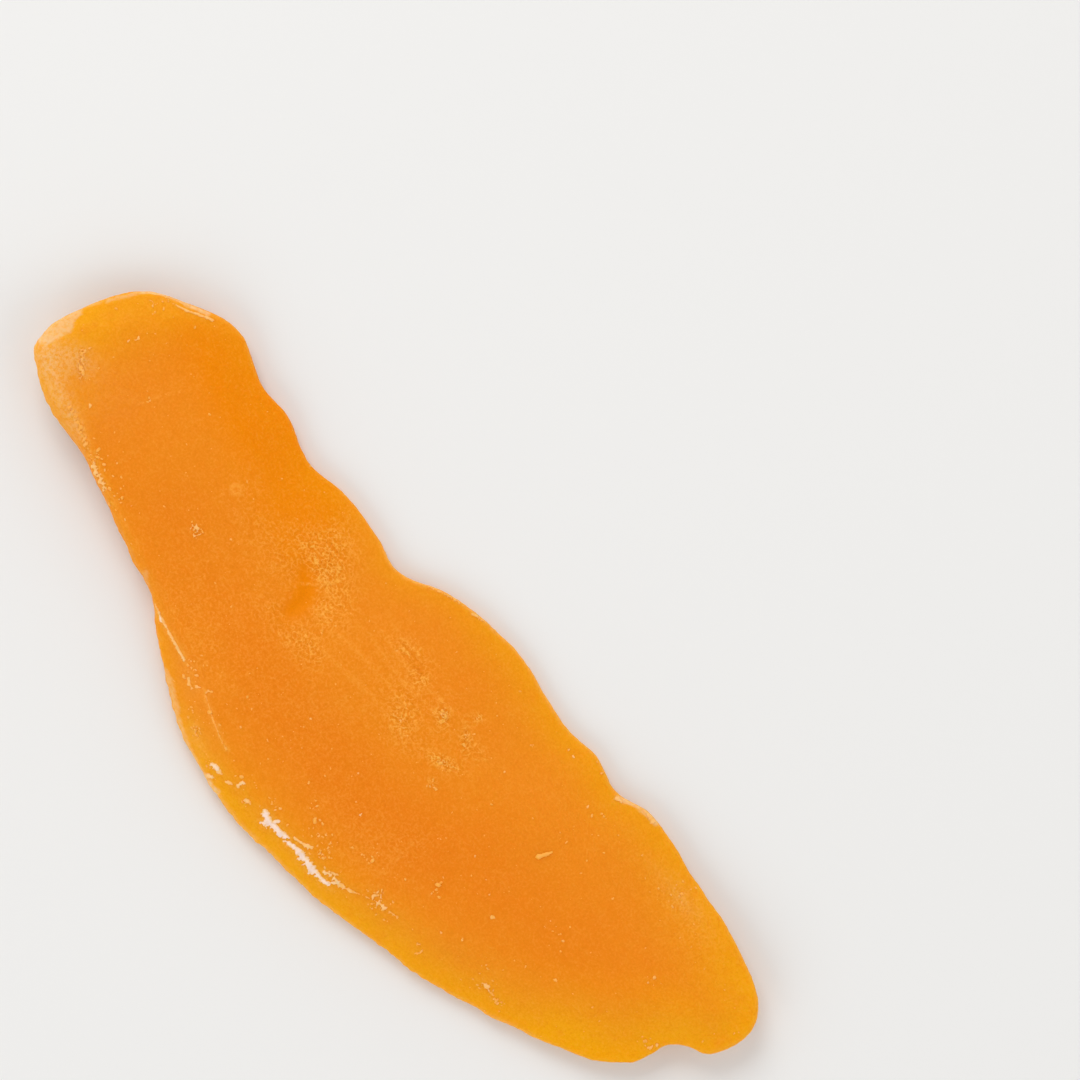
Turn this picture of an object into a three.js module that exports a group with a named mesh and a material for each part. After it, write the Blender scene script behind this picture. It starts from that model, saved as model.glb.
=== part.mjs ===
// A dried mango slice: a long, thin strip cut from the cheek of the fruit and dried until it is firm.
// It is one solid. X runs along the strip from its blunt end to its lobed end, Y across it and Z up.
// The origin is on the surface that the slice rests on, under the middle of its bounding box.
// All sizes are in millimetres.

import * as THREE from "three";
import { mergeVertices } from "three/addons/utils/BufferGeometryUtils.js";
import { ImprovedNoise } from "three/addons/math/ImprovedNoise.js";

// Driving dimensions.
const LENGTH = 119; // tip to tip
const WIDTH = 38.7; // at the widest
const MEAN_WIDTH = 26;
const THICKNESS = 5.2; // where the flesh is thickest

const HALF_LENGTH = LENGTH / 2;
const HALF_WIDTH = WIDTH / 2;

// The rim of the slice is four edges, which meet at the two corners of each end.
// Each row is [along, across, slope]: along and across are shares of the half length and half width, and
// slope is how steeply the upper face climbs from the rim there, so a low slope is a thin, tapering edge.
const BLUNT_LOW = [-0.992, -0.082, 1.3];
const BLUNT_HIGH = [-0.735, 0.967, 0.6];
const LOBED_LOW = [0.897, -0.088, 0.42];
const LOBED_HIGH = [1, 0.6, 0.45];

// The edge along the peeled side, with its knife-cut bevel.
const PEELED_EDGE = [
  BLUNT_LOW,
  [-0.923, -0.2, 1.2],
  [-0.872, -0.243, 1.4],
  [-0.78, -0.262, 1.6],
  [-0.678, -0.338, 1.7],
  [-0.575, -0.429, 1.6],
  [-0.465, -0.513, 1.3],
  [-0.33, -0.74, 0.85],
  [-0.212, -0.905, 0.8],
  [-0.087, -0.987, 0.8],
  [0.03, -1.005, 0.85],
  [0.18, -0.957, 0.8],
  [0.365, -0.855, 0.65],
  [0.556, -0.687, 0.52],
  [0.726, -0.465, 0.46],
  [0.839, -0.266, 0.42],
  LOBED_LOW,
];

// The thin, wavy edge along the stone side.
const STONE_EDGE = [
  BLUNT_HIGH,
  [-0.63, 0.855, 0.6],
  [-0.555, 0.858, 0.55],
  [-0.455, 0.768, 0.5],
  [-0.335, 0.822, 0.42],
  [-0.25, 0.8, 0.42],
  [-0.19, 0.763, 0.42],
  [-0.14, 0.796, 0.4],
  [-0.078, 0.908, 0.36],
  [0.05, 0.998, 0.34],
  [0.16, 0.996, 0.32],
  [0.29, 0.93, 0.36],
  [0.385, 0.973, 0.4],
  [0.458, 0.92, 0.5],
  [0.53, 0.997, 0.46],
  [0.68, 0.953, 0.36],
  [0.82, 0.898, 0.36],
  [0.932, 0.812, 0.38],
  [0.983, 0.706, 0.42],
  LOBED_HIGH,
];

const BLUNT_END = [
  BLUNT_LOW,
  [-1, 0.11, 1.1],
  [-0.982, 0.4, 0.8],
  [-0.936, 0.704, 0.62],
  [-0.86, 0.837, 0.9],
  [-0.79, 0.95, 0.8],
  BLUNT_HIGH,
];

// Two round lobes with a notch between them.
const LOBED_END = [
  LOBED_LOW,
  [0.909, 0.028, 0.5],
  [0.913, 0.155, 0.7],
  [0.942, 0.245, 0.75],
  [0.98, 0.297, 0.6],
  [0.997, 0.43, 0.45],
  LOBED_HIGH,
];

// How thick the rim is: RIM_THIN where the slope is nothing, and thicker where the edge is cut steeply.
const RIM_THIN = 0.85;
const RIM_PER_SLOPE = 1.15;
const RIM_BULGE = 0.36; // how far the rim's wall bulges past its upper and lower lines
const ARRIS_BLEND = 0.45; // how widely the arris between a cut face and the upper face is rounded

// The flesh is thickest along a crest, which wanders from the peeled side towards the stone side.
const CREST = [-0.1, -0.14, -0.13, 0.02, 0.22]; // across, at even steps along the slice
const CREST_FALL = 0.24; // share of the thickness lost from the crest to the furthest edge
const END_FALL = 0.16; // share of the thickness lost towards each end

// How the slice lies: it has curled a little while drying, and its belly is flat where it lay on the tray.
const BLUNT_CURL = 3.4; // how far the blunt end is lifted
const LOBED_CURL = 2.2; // how far the lobed end is lifted
const CURL_START = 0.14; // where the curl starts, as a share of the half length
const TWIST = 0.7; // how far the corners are lifted or lowered by the twist along the strip
const BELLY_SUNK = 0.35; // how much of the belly is pressed flat
const UNDERCUT = 0.55; // how far the underside is drawn up at the rim
const UNDERCUT_REACH = 2.8; // how far in from the rim that goes

// Broad hollows and swellings of the upper face: [along, across, radius along, radius across, height].
const RELIEF = [
  [-0.25, 0.3, 7.5, 4.5, -0.75], // the shallow dish past the narrow neck
  [-0.34, 0.62, 9, 4, 0.3],
  [-0.1, 0.18, 6, 5, 0.28],
  [0.1, 0.42, 14, 5.5, 0.42], // the swelling over the widest part
  [0.86, -0.02, 7, 4, 0.25], // the swelling behind the notch
  [-0.62, 0.3, 10, 6, 0.3],
  [0.62, 0.35, 11, 5, -0.28],
  [0.84, 0.42, 6, 5, 0.22],
];

// Unevenness: [height, wavelength].
const EDGE_WOBBLES = [
  [0.28, 6.5],
  [0.22, 2.9],
];
const FACE_WOBBLES = [
  [0.34, 19],
  [0.16, 7],
];

// Which sheet of the noise each surface takes its unevenness from.
const RIM_LAYER = 0.5;
const UNDERSIDE_LAYER = 3.1;
const UPPER_FACE_LAYER = 11.7;
const LAYER_STEP = 7.3;
const CORNER_FADE = 0.125; // the share of an edge over which its unevenness fades towards a corner

// How finely the slice is divided.
const STEPS_ALONG = 92;
const STEPS_ACROSS = 22;
const STEPS_THROUGH = 3;
const EDGE_SAMPLES = 120;
const CROWD_ALONG = 0.25; // how closely the steps crowd towards the rim, from 0 to 1
const CROWD_ACROSS = 0.62;

const noise = new ImprovedNoise();

// A wavy height between about -1 and 1 times each wobble's own, the same for the same place.
function wobble(wobbles, x, y, layer) {
  let height = 0;
  wobbles.forEach(([size, wavelength], i) => {
    height += size * noise.noise(x / wavelength, y / wavelength, layer + LAYER_STEP * i);
  });
  return height;
}

// The lesser of a and b, with the corner between them rounded over a span of blend.
function softMin(a, b, blend) {
  const mix = THREE.MathUtils.clamp(0.5 + (b - a) / (2 * blend), 0, 1);
  return THREE.MathUtils.lerp(b, a, mix) - blend * mix * (1 - mix);
}

// One edge of the rim as a smooth curve through its rows. Its z is the slope and not a height.
function edgeCurve(rows) {
  const points = rows.map(
    ([along, across, slope]) => new THREE.Vector3(along * HALF_LENGTH, across * HALF_WIDTH, slope),
  );
  return new THREE.CatmullRomCurve3(points, false, "centripetal");
}

const edges = {
  peeled: edgeCurve(PEELED_EDGE),
  stone: edgeCurve(STONE_EDGE),
  blunt: edgeCurve(BLUNT_END),
  lobed: edgeCurve(LOBED_END),
};

// A point of an edge, pushed in or out by the wobble, which fades at the corners so that the edges still meet.
function edgePoint(edge, share) {
  const point = edge.getPointAt(share);
  const tangent = edge.getTangentAt(share);
  const fade = Math.min(1, share / CORNER_FADE, (1 - share) / CORNER_FADE);
  const push = fade * wobble(EDGE_WOBBLES, point.x, point.y, RIM_LAYER);
  const across = Math.hypot(tangent.x, tangent.y);
  point.x -= (push * tangent.y) / across;
  point.y += (push * tangent.x) / across;
  return point;
}

const rim = Object.values(edges).flatMap((edge) =>
  Array.from({ length: EDGE_SAMPLES }, (_, i) => edgePoint(edge, i / (EDGE_SAMPLES - 1))),
);

// How far a place is from the rim, and the height that the slopes climbing from the rim allow there.
function fromRim(x, y) {
  let inward = Infinity;
  let cut = Infinity;
  for (const point of rim) {
    const apart = Math.hypot(point.x - x, point.y - y);
    inward = Math.min(inward, apart);
    cut = Math.min(cut, RIM_THIN + (RIM_PER_SLOPE + apart) * point.z);
  }
  return { inward, cut };
}

// The point at a share of the way from one point to another.
function between(from, to, share) {
  return new THREE.Vector3().lerpVectors(from, to, share);
}

// The plan view: a patch spanned between the four edges, where u and v run from 0 to 1 along and across it.
function planPoint(u, v) {
  const { peeled, stone, blunt, lobed } = edges;
  const across = between(edgePoint(peeled, u), edgePoint(stone, u), v);
  const along = between(edgePoint(blunt, v), edgePoint(lobed, v), u);
  const peeledChord = between(peeled.getPointAt(0), peeled.getPointAt(1), u);
  const stoneChord = between(stone.getPointAt(0), stone.getPointAt(1), u);
  return across.add(along).sub(between(peeledChord, stoneChord, v));
}

const crest = new THREE.CatmullRomCurve3(
  CREST.map((across, i) => new THREE.Vector3((2 * i) / (CREST.length - 1) - 1, across, 0)),
);

// The thickness of the flesh away from the rim, before its hollows and swellings.
function bodyThickness(x, y) {
  const along = THREE.MathUtils.clamp(x / HALF_LENGTH, -1, 1);
  const fromCrest = y / HALF_WIDTH - crest.getPoint((along + 1) / 2).y;
  return THICKNESS * (1 - CREST_FALL * fromCrest ** 2 - END_FALL * along ** 4);
}

// The height that the hollows and swellings add.
function relief(x, y) {
  let height = 0;
  for (const [along, across, reachAlong, reachAcross, peak] of RELIEF) {
    const dx = (x - along * HALF_LENGTH) / reachAlong;
    const dy = (y - across * HALF_WIDTH) / reachAcross;
    height += peak * Math.exp(-dx * dx - dy * dy);
  }
  return height;
}

// The height of the underside: flat at the belly, lifted at the ends and drawn up at the rim.
function underside(x, y, inward) {
  const along = x / HALF_LENGTH;
  const curl = Math.max(0, Math.abs(along) - CURL_START) / (1 - CURL_START);
  const lift = (along < 0 ? BLUNT_CURL : LOBED_CURL) * curl ** 2;
  const twist = (TWIST * along * y) / HALF_WIDTH;
  const waves = wobble(FACE_WOBBLES, x, y, UNDERSIDE_LAYER);
  const drawnUp = UNDERCUT * Math.max(0, 1 - inward / UNDERCUT_REACH) ** 2;
  return Math.max(0, lift + twist + waves - BELLY_SUNK) + drawnUp;
}

// The thickness of the slice: the flesh's own, cut down near the rim.
function thickness(x, y, cut) {
  const waves = wobble(FACE_WOBBLES, x, y, UPPER_FACE_LAYER);
  return softMin(bodyThickness(x, y) + relief(x, y) + waves, cut, ARRIS_BLEND);
}

// Steps from 0 to 1 that crowd together towards both ends.
function crowd(share, strength) {
  return share - (strength * Math.sin(2 * Math.PI * share)) / (2 * Math.PI);
}

// A share of the way across a span, kept an inset away from both of its ends.
function keptIn(share, inset, span) {
  return THREE.MathUtils.lerp(inset / span, 1 - inset / span, share);
}

// The slice is a block, divided into steps, whose corners are moved to where the fruit is.
function sliceGeometry() {
  const block = new THREE.BoxGeometry(1, 1, 1, STEPS_ALONG, STEPS_ACROSS, STEPS_THROUGH);
  block.deleteAttribute("normal");
  block.deleteAttribute("uv");
  const slice = mergeVertices(block);
  const place = slice.getAttribute("position");
  for (let i = 0; i < place.count; i += 1) {
    const through = place.getZ(i) + 0.5;
    const u = crowd(place.getX(i) + 0.5, CROWD_ALONG);
    const v = crowd(place.getY(i) + 0.5, CROWD_ACROSS);
    const inset = RIM_BULGE * (2 * through - 1) ** 2;
    const { x, y } = planPoint(keptIn(u, inset, LENGTH), keptIn(v, inset, MEAN_WIDTH));
    const { inward, cut } = fromRim(x, y);
    place.setXYZ(i, x, y, underside(x, y, inward) + through * thickness(x, y, cut));
  }
  return slice;
}

// Puts the geometry over the origin, standing on Z = 0.
function centre(geometry) {
  geometry.computeBoundingBox();
  const { min, max } = geometry.boundingBox;
  geometry.translate(-(min.x + max.x) / 2, -(min.y + max.y) / 2, -min.z);
  geometry.computeVertexNormals();
  return geometry;
}

const driedFlesh = new THREE.MeshStandardMaterial({ color: "#f0891f", roughness: 0.45, metalness: 0 });

const slice = new THREE.Mesh(centre(sliceGeometry()), driedFlesh);
slice.name = "mango_slice";

const part = new THREE.Group();
part.add(slice);

export default part;
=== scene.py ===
"""A slice of dried mango with sugar on it, on a pale studio floor.

The slice lies along X, from its blunt end to its lobed end, and its shown face looks up. Lengths named in
millimetres are turned into metres where a mesh is made. Places on the slice are (along, across) from the
middle of its box.
"""

import math
import random

import bmesh
import bpy
import numpy as np
from mathutils import Euler, Matrix, Vector, noise
from mathutils.bvhtree import BVHTree
from mathutils.kdtree import KDTree


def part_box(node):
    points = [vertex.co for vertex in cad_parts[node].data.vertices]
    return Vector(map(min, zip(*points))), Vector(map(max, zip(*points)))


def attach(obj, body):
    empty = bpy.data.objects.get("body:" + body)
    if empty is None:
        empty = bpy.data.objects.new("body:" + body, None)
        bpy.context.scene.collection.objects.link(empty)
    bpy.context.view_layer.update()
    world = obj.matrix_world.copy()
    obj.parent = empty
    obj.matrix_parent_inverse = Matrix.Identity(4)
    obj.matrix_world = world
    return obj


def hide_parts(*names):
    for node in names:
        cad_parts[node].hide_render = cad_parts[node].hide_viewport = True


bl_info = {
    "name": "Dried mango slice",
    "version": (1, 0, 0),
    "blender": (4, 5, 0),
    "location": "3D View > Sidebar > Mango",
    "description": "Makes a slice of dried mango with its sugar, and a pale studio to see it in",
    "category": "Add Mesh",
}

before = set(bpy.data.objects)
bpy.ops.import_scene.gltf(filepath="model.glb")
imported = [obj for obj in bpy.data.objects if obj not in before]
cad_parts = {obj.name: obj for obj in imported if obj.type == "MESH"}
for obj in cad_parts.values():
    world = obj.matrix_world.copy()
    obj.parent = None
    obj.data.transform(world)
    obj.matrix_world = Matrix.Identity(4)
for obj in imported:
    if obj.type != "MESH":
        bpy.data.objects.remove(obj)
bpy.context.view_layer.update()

MM = 0.001
SOLID = "mango_slice"
BODY = "root"


def linear(code):
    """The scene-linear colour of a screen colour written as six hex digits."""
    shares = [int(code[i : i + 2], 16) / 255 for i in (0, 2, 4)]
    return [s / 12.92 if s <= 0.04045 else ((s + 0.055) / 1.055) ** 2.4 for s in shares]


def colour(name, code, description):
    """A colour that the user can change."""
    return bpy.props.FloatVectorProperty(
        name=name,
        description=description,
        subtype="COLOR",
        min=0,
        max=1,
        default=linear(code),
    )


def length(name, millimetres, description):
    """A length that the user can change, in the scene's own unit."""
    return bpy.props.FloatProperty(
        name=name,
        description=description,
        unit="LENGTH",
        precision=5,
        min=0,
        default=millimetres * MM,
    )


class FleshSettings(bpy.types.PropertyGroup):
    """The fruit flesh."""

    spacing: length("Spacing", 0.295, "Distance between neighbouring points of the fine mesh")
    waviness: bpy.props.FloatProperty(
        name="Waviness",
        description="How strongly the faces are waved and wrinkled",
        subtype="FACTOR",
        min=0,
        max=3,
        default=1,
    )
    serration: length("Serration", 0.13, "Depth of the small teeth that the knife left along the rim")
    plumpness: bpy.props.FloatProperty(
        name="Plumpness",
        description="How strongly the rim swells past the plain solid's own rim, or shrinks from it",
        subtype="FACTOR",
        min=0,
        max=3,
        default=1,
    )
    body_colour: colour("Flesh", "F08C1B", "Colour of the flesh where it is thick")
    deep_colour: colour("Deep flesh", "EE8317", "Colour of the ripest, deepest flesh")
    clear_colour: colour("Clear flesh", "F28900", "Colour of the flesh where it is clear and glassy")
    golden_colour: colour("Golden flesh", "F4A706", "Colour of the rims, where light comes through")
    # Painted highlight: the colour of the glints on the fine raised grain; it also colours the sugar film,
    # the frost and the rim's lip
    glint_and_film_colour: colour("Glints", "FFB048", "Colour of the fine raised grain of the flesh")
    # Painted shade: the colour of the shade in the fine hollows between the grain
    shaded_hollow_colour: colour("Hollows", "DC7408", "Colour of the fine hollows between the grain")
    # Pale sugar, and also the colour of the painted sheen on the pale lip and bands
    bloom_and_sheen_colour: colour("Bloom", "F4C488", "Colour of the sugar bloom that dulls the flesh")
    roughness: bpy.props.FloatProperty(
        name="Roughness",
        description="Roughness of the dried skin of the flesh",
        subtype="FACTOR",
        min=0,
        max=1,
        default=0.46,
    )


class SugarSettings(bpy.types.PropertyGroup):
    """The sugar that has dried onto the flesh."""

    crust: length("Crust", 0.1, "Thickness of the crusts of sugar")
    mesh_size: length("Crust mesh", 0.08, "Distance between neighbouring points of a crust")
    grain: length("Grain", 0.1, "Usual radius of a grain of sugar")
    loose_grains: bpy.props.IntProperty(
        name="Loose grains",
        description="How many grains lie scattered over the whole slice",
        min=0,
        default=380,
    )
    white: colour("White sugar", "FFDDCB", "Colour of thick sugar")
    cream: colour("Cream sugar", "FFC984", "Colour of sugar of middling thickness")
    amber: colour("Thin sugar", "FFAF44", "Colour of sugar so thin that the flesh shines through")


class StudioSettings(bpy.types.PropertyGroup):
    """The floor, the lights and the camera."""

    height: length("Camera height", 620, "How far above the floor the camera hangs")
    field: length("Field", 129.6, "Width of the view where the slice lies")
    floor_colour: colour("Floor", "EEEDEB", "Colour of the floor")
    key: bpy.props.FloatProperty(
        name="Key light",
        description="Power of the main softbox",
        unit="POWER",
        min=0,
        default=2.9,
    )
    fill: bpy.props.FloatProperty(
        name="Fill light",
        description="Power of the softbox across from the main one",
        unit="POWER",
        min=0,
        default=1.27,
    )
    low_fill: bpy.props.FloatProperty(
        name="Low fill light",
        description="Power of the softbox that lights the bevelled edge",
        unit="POWER",
        min=0,
        default=1.27,
    )
    surround: bpy.props.FloatProperty(
        name="Surround",
        description="Brightness of the light from all round",
        min=0,
        default=1.02,
    )
    overhead: bpy.props.FloatProperty(
        name="Overhead",
        description="Brightness of the light from straight above, which the flat flesh mirrors",
        min=0,
        default=0.265,
    )


BEVELLED_SIDE = -1.0  # the bevelled edge lies on the lower side of this line

# The flesh round the rim: along, across, how golden it is, how far in that reaches, how pale its lip is,
# which is partly crumbs of sugar and partly a painted highlight along the edge, and how far it swells past
# the plain solid's own rim.
RIM = [
    (-58, 4, 0.9, 9.0, 0.1, 0.09),
    (-54, 12, 0.7, 5.8, 0.1, -0.17),
    (-46, 16, 0.35, 2.5, 0.1, -0.02),
    (-36, 15, 0.1, 2.0, 0.05, 0.02),
    (-18, 15, 0.35, 2.5, 0.1, -0.07),
    (-8, 16, 0.45, 2.2, 0.6, -0.07),
    (8, 18, 0.6, 3.5, 0.4, 0.0),
    (24, 18, 0.7, 3.5, 0.25, 0.0),
    (42, 17, 0.7, 4.5, 0.1, 0.04),
    (58, 13, 0.9, 6.5, 0.2, 0.02),
    (53.4, 1.4, 0.9, 6.5, 0.05, 0.03),
    (53, -1.6, 0.9, 6.5, 0.05, -0.2),
    (50.6, -4, 1.1, 6.5, 0.1, 0.2),
    (46, -6, 1.3, 6.5, 0.3, -0.09),
    (40, -9, 0.8, 5.0, 0.45, 0.1),
    (28, -14, 0.9, 4.2, 0.2, 0.01),
    (14, -18, 0.95, 3.7, 0.3, 0.02),
    (0, -19, 0.95, 3.7, 0.65, 0.2),
    (-10, -18, 0.85, 2.4, 0.1, 0.28),
    (-18, -15, 0.5, 1.5, 0.1, 0.1),
    (-30, -9, 0.25, 1.0, 0.05, 0.09),
    (-44, -5, 0.25, 1.2, 0.05, 0.1),
    (-54, -2, 0.7, 4.0, 0.1, -0.02),
]
RIM_BLEND = 2.3  # millimetres over which one of those places gives way to the next

# Curved marks on the shown face: each is the points that it follows, its half width, its height, and how much
# light is painted along it: a painted highlight where this is above 0, on the raised wrinkles, creases and
# blister, and painted shade where it is below 0, in the folds and the dimple.
MARKS = {
    "dimple": ([(-17.8, 6.0), (-15.7, 4.9), (-14.8, 3.3), (-14.9, 1.4)], 1.0, -0.35, -0.12),
    "upper crease": ([(-27.3, -10.1), (-24.3, -10.8), (-21.2, -11.2), (-18.5, -11.7)], 0.34, 0.12, 0.4),
    "lower crease": ([(-14.2, -12.2), (-11.3, -13.5), (-8.3, -14.5), (-6.9, -14.7)], 0.3, 0.1, 0.4),
    "blister": ([(-30.8, 6.2), (-30.1, 6.9), (-29.4, 6.2), (-30.1, 5.5), (-30.8, 6.2)], 0.24, 0.09, 0.4),
    "first wrinkle": ([(-3.8, 9.1), (-2.4, 9.3), (-1.6, 9.3)], 0.14, 0.05, 0.35),
    "fold by it": ([(-3.6, 9.5), (-2.5, 9.6), (-1.4, 9.7), (0.3, 9.5)], 0.13, -0.05, -0.35),
    "next wrinkle": ([(-3.7, 9.9), (-2.8, 10.1), (-2.0, 10.2), (-0.7, 10.3)], 0.16, 0.05, 0.35),
    "second fold": ([(-2.2, 8.8), (-0.9, 8.9), (0.2, 9.0), (1.4, 8.9)], 0.15, -0.05, -0.35),
    "second wrinkle": ([(-6.0, 8.6), (0.5, 8.0), (7.0, 8.9)], 0.26, 0.06, 0.2),
    "third wrinkle": ([(-6.5, 7.2), (-1.0, 6.5), (4.5, 7.3), (9.0, 7.0)], 0.3, 0.07, 0.15),
    "fourth wrinkle": ([(-13.4, 4.2), (-7.5, 4.6), (-1.5, 5.3), (5.0, 4.8)], 0.32, 0.07, 0.15),
    "fifth wrinkle": ([(-12.2, 1.4), (-5.8, 2.0), (0.8, 3.0), (6.0, 2.5)], 0.32, 0.07, 0.15),
}

# Faint lines where a little sugar has dried: the points that each follows, its half width and its strength.
LINES = [
    ([(-16.6, 4.7), (-15.7, 5.8), (-14.9, 6.6), (-14.0, 7.8)], 0.15, 1.0),
    ([(-53.6, 13.8), (-52.7, 14.6), (-51.6, 15.0)], 0.25, 0.7),
    ([(-44.6, 6.3), (-43.9, 7.7), (-43.3, 8.9)], 0.13, 0.7),
    ([(-45.6, 3.6), (-45.0, 4.8), (-44.6, 6.3)], 0.16, 0.5),
    ([(-39.9, 7.4), (-39.2, 8.4)], 0.14, 0.6),
    ([(16.2, -8.3), (16.3, -6.4), (15.8, -4.8)], 0.18, 0.5),
    ([(11.4, -12.3), (12.6, -11.6), (13.8, -10.9)], 0.2, 0.4),
    ([(-24.2, -7.3), (-24.1, -5.2)], 0.2, 0.4),
    ([(-11.8, -15.8), (-10.6, -16.6), (-8.6, -17.2), (-6.4, -17.4)], 0.45, 0.6),
    ([(-17.9, -12.0), (-16.2, -13.0), (-14.4, -13.0)], 0.6, 0.35),
    ([(-50.0, -2.5), (-47.5, -3.3), (-44.8, -4.2), (-42.9, -5.0), (-40.6, -5.7)], 0.5, 1.0),
    ([(-40.6, -5.7), (-38.0, -6.2), (-35.0, -6.8)], 0.35, 0.5),
]

# Soft patches, each as [along, across, reach along, reach across, turn in degrees, strength].
PATCHES = {
    "deep": [
        [-35.8, -1.9, 12, 5, -6, 0.3],
        [-17.1, -4.0, 12, 5, -6, 0.8],
        [-0.1, -6.2, 13, 5, 0, 1.0],
        [15.9, -4.0, 12, 6, 8, 0.85],
        [34.0, 0.5, 13, 6, 8, 0.65],
        [48.0, 5.5, 7, 5, 8, 0.5],
        [-15.3, 3.8, 1.4, 2.2, 25, 1.0],
    ],
    "clear": [
        [-42.0, 15.0, 9, 4, 0, 1.0],
        [-32.0, 13.5, 9, 5, -8, 1.1],
        [-23.0, 12.6, 5, 3.5, 0, 0.9],
        [-24.6, 8.0, 4, 2.5, 0, 0.4],
        [-15.5, 4.5, 1.3, 1.6, 40, 1.3],
        [-14.7, 2.6, 1.1, 1.9, 0, 1.2],
        [-17.4, 5.9, 1.6, 1.0, -30, 0.7],
        [-20.4, 6.4, 2.0, 1.2, 0, 0.5],
    ],
    # Where the grain glints: its bump, and the painted highlights and shade of its grain
    "glints": [
        [-16.8, 8.0, 3.4, 2.6, 20, 0.7],
        [-20.5, 8.9, 5.5, 4.2, 0, 0.65],
        [-23.0, 4.7, 5.0, 4.0, 0, 0.08],
        [-20.5, 12.0, 4.0, 2.4, 0, 0.75],
        [-28.3, 8.3, 5.0, 4.0, 0, 0.15],
        [-12.0, 4.8, 3.0, 2.4, 0, 0.5],
        [-12.0, 8.0, 2.2, 2.0, 0, 0.3],
        [-11.8, 0.2, 3.0, 1.5, 0, 0.45],
        [-16.0, 0.4, 1.8, 1.5, 0, 0.3],
        [-9.5, 1.0, 2.0, 1.2, -20, 0.4],
        [-1.9, 9.6, 3.0, 1.2, 10, 0.5],
        [1.4, 8.4, 1.1, 0.7, 20, 1.0],
        [3.6, 3.8, 3.0, 1.6, -40, 0.6],
        [6.6, 7.7, 1.4, 0.8, -40, 1.0],
        [10.9, 4.2, 2.4, 0.8, 24, 1.0],
        [10.5, 8.0, 1.9, 0.7, -40, 0.9],
        [12.9, 8.2, 1.4, 1.0, 0, 0.5],
        [9.5, 10.8, 0.8, 0.5, 40, 0.9],
        [12.0, 1.7, 1.0, 0.7, 0, 0.5],
        [3.0, 6.0, 9.0, 5.0, 0, 0.25],
        [-24.0, -2.0, 10.0, 7.0, 0, 0.13],
        [-6.0, -4.0, 12.0, 7.0, 0, 0.15],
        [42.0, 15.4, 5.5, 2.0, 0, 0.3],
        [47.0, 14.0, 8.0, 3.5, 0, 0.1],
        [12.0, -10.0, 8.0, 4.0, 0, 0.2],
        [16.0, -5.0, 3.0, 3.0, 0, 0.2],
        [-20.0, -9.0, 8.0, 3.0, -10, 0.2],
    ],
    "frost": [
        [-57.4, -0.6, 1.8, 1.5, 0, 0.8],
        [-55.4, -1.4, 2.2, 1.7, -20, 0.75],
        [-52.0, -2.9, 2.6, 1.2, -12, 0.65],
        [-48.6, -3.6, 2.6, 0.9, -20, 0.5],
        [-50.0, 0.5, 6.0, 5.0, 0, 0.08],
        [-55.4, 1.6, 2.0, 1.4, 0, 0.4],
        [-53.4, 1.9, 2.0, 1.7, 0, 0.33],
        [-16.0, -13.2, 4.0, 2.4, -20, 0.05],
        [-10.5, -17.0, 3.0, 1.4, -14, 0.12],
        [41.8, 15.4, 4.5, 1.3, 0, 0.14],
    ],
}

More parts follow.
